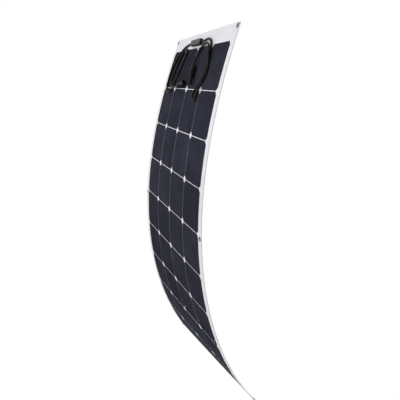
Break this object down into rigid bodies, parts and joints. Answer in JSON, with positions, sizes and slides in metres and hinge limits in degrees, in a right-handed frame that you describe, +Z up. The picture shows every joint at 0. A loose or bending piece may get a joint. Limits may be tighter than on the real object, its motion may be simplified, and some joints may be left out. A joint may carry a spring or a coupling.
{
  "type": "flexible solar sheet",
  "caption": "Thin bendable photovoltaic sheet with square-cut dark cells, edge eyelets, a flat junction box and two connector leads.",
  "frame": {"origin": "midway between the centres of the two top eyelets, on the front of the sheet", "axes": "+X along the width to the right seen from the front, +Z up, the cell side faces -Y"},
  "size_m": [0.5551, 0.1928, 1.1673],
  "materials": {
    "backsheet": "white glass fibre laminate, satin",
    "front_film": "clear embossed front film",
    "cell": "monocrystalline silicon under a dark anti-reflection coat",
    "ribbon": "tinned copper",
    "eyelet": "nickelled metal",
    "foam": "black adhesive foam",
    "seal": "black sealing rubber",
    "box": "moulded black plastic",
    "gland": "moulded black boot",
    "diode": "moulded package",
    "contact": "tinned contact metal",
    "cable": "black cable sheath, satin",
    "connector": "moulded black connector"
  },
  "bodies": {
    "row_1": {"board_row_1": "backsheet", "front_film_row_1": "front_film", "cells_row_1": "cell", "tabs_row_1": "ribbon", "bus_ribbons_top": "ribbon", "eyelets_top": "eyelet", "junction_pad": "foam", "junction_base": "box", "junction_gasket": "seal", "junction_lid": "box", "junction_terminals": "contact", "junction_diodes": "diode", "gland_right": "gland", "gland_left": "gland", "plug_nut": "connector", "plug_housing": "connector", "plug_pin": "contact", "socket_nut": "connector", "socket_housing": "connector", "socket_contact": "contact", "lead_right": "cable", "lead_left": "cable"},
    "row_2": {"board_row_2": "backsheet", "front_film_row_2": "front_film", "cells_row_2": "cell", "tabs_row_2": "ribbon"},
    "row_3": {"board_row_3": "backsheet", "front_film_row_3": "front_film", "cells_row_3": "cell", "tabs_row_3": "ribbon"},
    "row_4": {"board_row_4": "backsheet", "front_film_row_4": "front_film", "cells_row_4": "cell", "tabs_row_4": "ribbon"},
    "row_5": {"board_row_5": "backsheet", "front_film_row_5": "front_film", "cells_row_5": "cell", "tabs_row_5": "ribbon", "eyelets_middle": "eyelet"},
    "row_6": {"board_row_6": "backsheet", "front_film_row_6": "front_film", "cells_row_6": "cell", "tabs_row_6": "ribbon"},
    "row_7": {"board_row_7": "backsheet", "front_film_row_7": "front_film", "cells_row_7": "cell", "tabs_row_7": "ribbon"},
    "row_8": {"board_row_8": "backsheet", "front_film_row_8": "front_film", "cells_row_8": "cell", "tabs_row_8": "ribbon"},
    "row_9": {"board_row_9": "backsheet", "front_film_row_9": "front_film", "cells_row_9": "cell", "tabs_row_9": "ribbon", "bus_ribbons_bottom": "ribbon", "eyelets_bottom": "eyelet"}
  },
  "joints": [
    {"name": "flex_1", "type": "hinge", "parent": "row_1", "child": "row_2", "pos_m": [-0.00164, -0.05258, -0.15259], "axis": [0.9985, -0.0545, 0.0084], "range_deg": [-3.9, 2.73], "stiffness_Nm_per_rad": 40},
    {"name": "flex_2", "type": "hinge", "parent": "row_2", "child": "row_3", "pos_m": [-0.00247, -0.08577, -0.27502], "axis": [0.9991, -0.0415, 0.0049], "range_deg": [-4.51, 3.17], "stiffness_Nm_per_rad": 40},
    {"name": "flex_3", "type": "hinge", "parent": "row_3", "child": "row_4", "pos_m": [-0.00291, -0.10926, -0.39965], "axis": [0.9996, -0.0265, 0.0021], "range_deg": [-5.11, 3.58], "stiffness_Nm_per_rad": 40},
    {"name": "flex_4", "type": "hinge", "parent": "row_4", "child": "row_5", "pos_m": [-0.00306, -0.1216, -0.52584], "axis": [1, -0.0093, 0.0005], "range_deg": [-5.7, 4], "stiffness_Nm_per_rad": 40},
    {"name": "flex_5", "type": "hinge", "parent": "row_5", "child": "row_6", "pos_m": [-0.0031, -0.12138, -0.6526], "axis": [1, 0.0098, 0.0005], "range_deg": [-6.29, 4.41], "stiffness_Nm_per_rad": 40},
    {"name": "flex_6", "type": "hinge", "parent": "row_6", "child": "row_7", "pos_m": [-0.0033, -0.10731, -0.77853], "axis": [0.9995, 0.0307, 0.0029], "range_deg": [-6.89, 4.83], "stiffness_Nm_per_rad": 40},
    {"name": "flex_7", "type": "hinge", "parent": "row_7", "child": "row_8", "pos_m": [-0.00397, -0.0783, -0.90185], "axis": [0.9986, 0.053, 0.0081], "range_deg": [-7.48, 5.24], "stiffness_Nm_per_rad": 40},
    {"name": "flex_8", "type": "hinge", "parent": "row_8", "child": "row_9", "pos_m": [-0.00554, -0.03354, -1.02031], "axis": [0.997, 0.0761, 0.0169], "range_deg": [-8.08, 5.66], "stiffness_Nm_per_rad": 40}
  ],
  "couplings": [
    {"joint": "flex_2", "follows": "flex_1", "ratio": 1.1522},
    {"joint": "flex_3", "follows": "flex_1", "ratio": 1.3044},
    {"joint": "flex_4", "follows": "flex_1", "ratio": 1.4566},
    {"joint": "flex_5", "follows": "flex_1", "ratio": 1.6088},
    {"joint": "flex_6", "follows": "flex_1", "ratio": 1.761},
    {"joint": "flex_7", "follows": "flex_1", "ratio": 1.9132},
    {"joint": "flex_8", "follows": "flex_1", "ratio": 2.0654}
  ]
}
